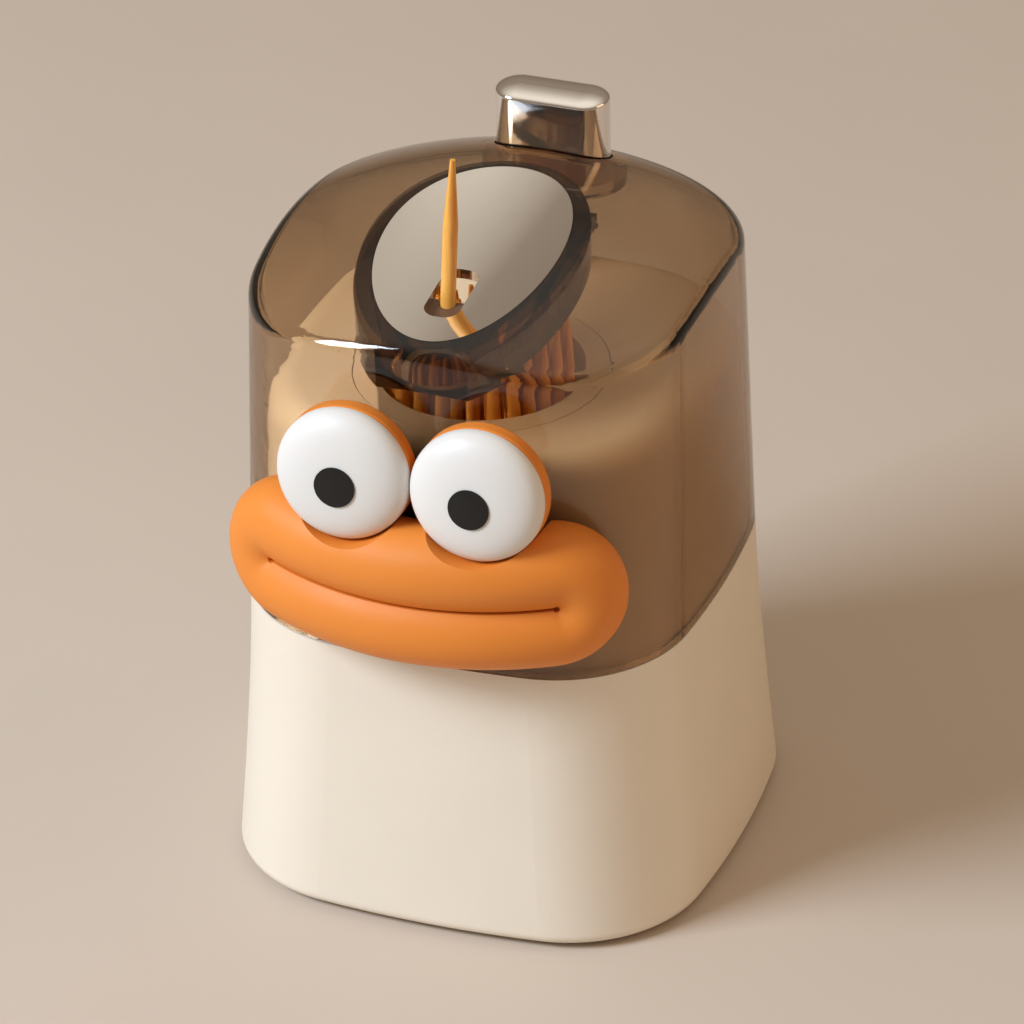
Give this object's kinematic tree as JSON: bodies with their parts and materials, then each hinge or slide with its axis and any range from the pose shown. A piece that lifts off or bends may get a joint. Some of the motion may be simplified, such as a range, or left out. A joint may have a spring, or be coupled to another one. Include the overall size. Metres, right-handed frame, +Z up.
{
  "type": "toothpick dispenser",
  "caption": "Press-button toothpick dispenser: flared cream base, smoky clear lift-off cover, dished chrome outlet plate, and a plain novelty face with round eyes and thick orange lips.",
  "frame": {"origin": "centre of the underside, on the table", "axes": "+Z up; the face looks along -Y; +X to the viewer's right"},
  "size_m": [0.0692, 0.0779, 0.1125],
  "materials": {
    "cream_plastic": "satin moulded",
    "smoky_plastic": "polished, smoky clear",
    "chrome_plate": "mirror chrome",
    "orange_vinyl": "soft vinyl, glossy",
    "white_plastic": "glossy",
    "black_plastic": "glossy",
    "natural_plastic": "moulded acetal",
    "steel": "bright drawn",
    "soft_rubber": "matte",
    "clear_silicone": "translucent",
    "foam_tape": "matte",
    "birch": "bare"
  },
  "bodies": {
    "base": {"anti_slip_pad": "soft_rubber", "bottom_plate": "cream_plastic", "bottom_screws": "steel", "base_shell": "cream_plastic", "inner_container": "cream_plastic", "container_screws": "steel", "toothpick_cup": "cream_plastic", "stored_toothpicks": "birch", "pivot_pin": "steel", "pivot_clips": "steel", "guide_rods": "steel"},
    "cover": {"cover": "smoky_plastic", "outlet_plate": "chrome_plate", "pick_grip": "clear_silicone", "lips": "orange_vinyl", "lips_tape": "foam_tape", "eye_back_left": "orange_vinyl", "eye_back_right": "orange_vinyl", "eye_tape_left": "foam_tape", "eye_tape_right": "foam_tape", "eye_white_left": "white_plastic", "eye_white_right": "white_plastic", "pupil_left": "black_plastic", "pupil_right": "black_plastic"},
    "button": {"button_cap": "chrome_plate", "push_rod": "steel", "rod_clip": "steel", "return_spring": "steel"},
    "lever": {"lift_lever": "natural_plastic", "lever_pins": "steel"},
    "lifter": {"lifter": "natural_plastic"},
    "toothpick": {"raised_toothpick": "birch"}
  },
  "joints": [
    {"name": "cover_lift", "type": "slide", "parent": "base", "child": "cover", "axis": [0, 0, 1], "range_m": [0, 0.06]},
    {"name": "button_press", "type": "slide", "parent": "cover", "child": "button", "axis": [0, 0, -1], "range_m": [0, 0.0075], "stiffness_N_per_m": 250, "springref_m": -0.003, "deforming": ["return_spring"]},
    {"name": "lever_rock", "type": "hinge", "parent": "base", "child": "lever", "pos_m": [0, 0.01479, 0.034], "axis": [-1, 0, 0], "range_deg": [0, 49.12]},
    {"name": "lifter_slide", "type": "slide", "parent": "base", "child": "lifter", "axis": [0, 0, 1], "range_m": [0, 0.0295]},
    {"name": "toothpick_pull", "type": "slide", "parent": "cover", "child": "toothpick", "axis": [0.0576, 0, 0.9983], "range_m": [0, 0.05]}
  ],
  "couplings": [
    {"joint": "lever_rock", "follows": "button_press", "rad_per_m": 114.29},
    {"joint": "lifter_slide", "follows": "button_press", "ratio": 3.9333}
  ]
}
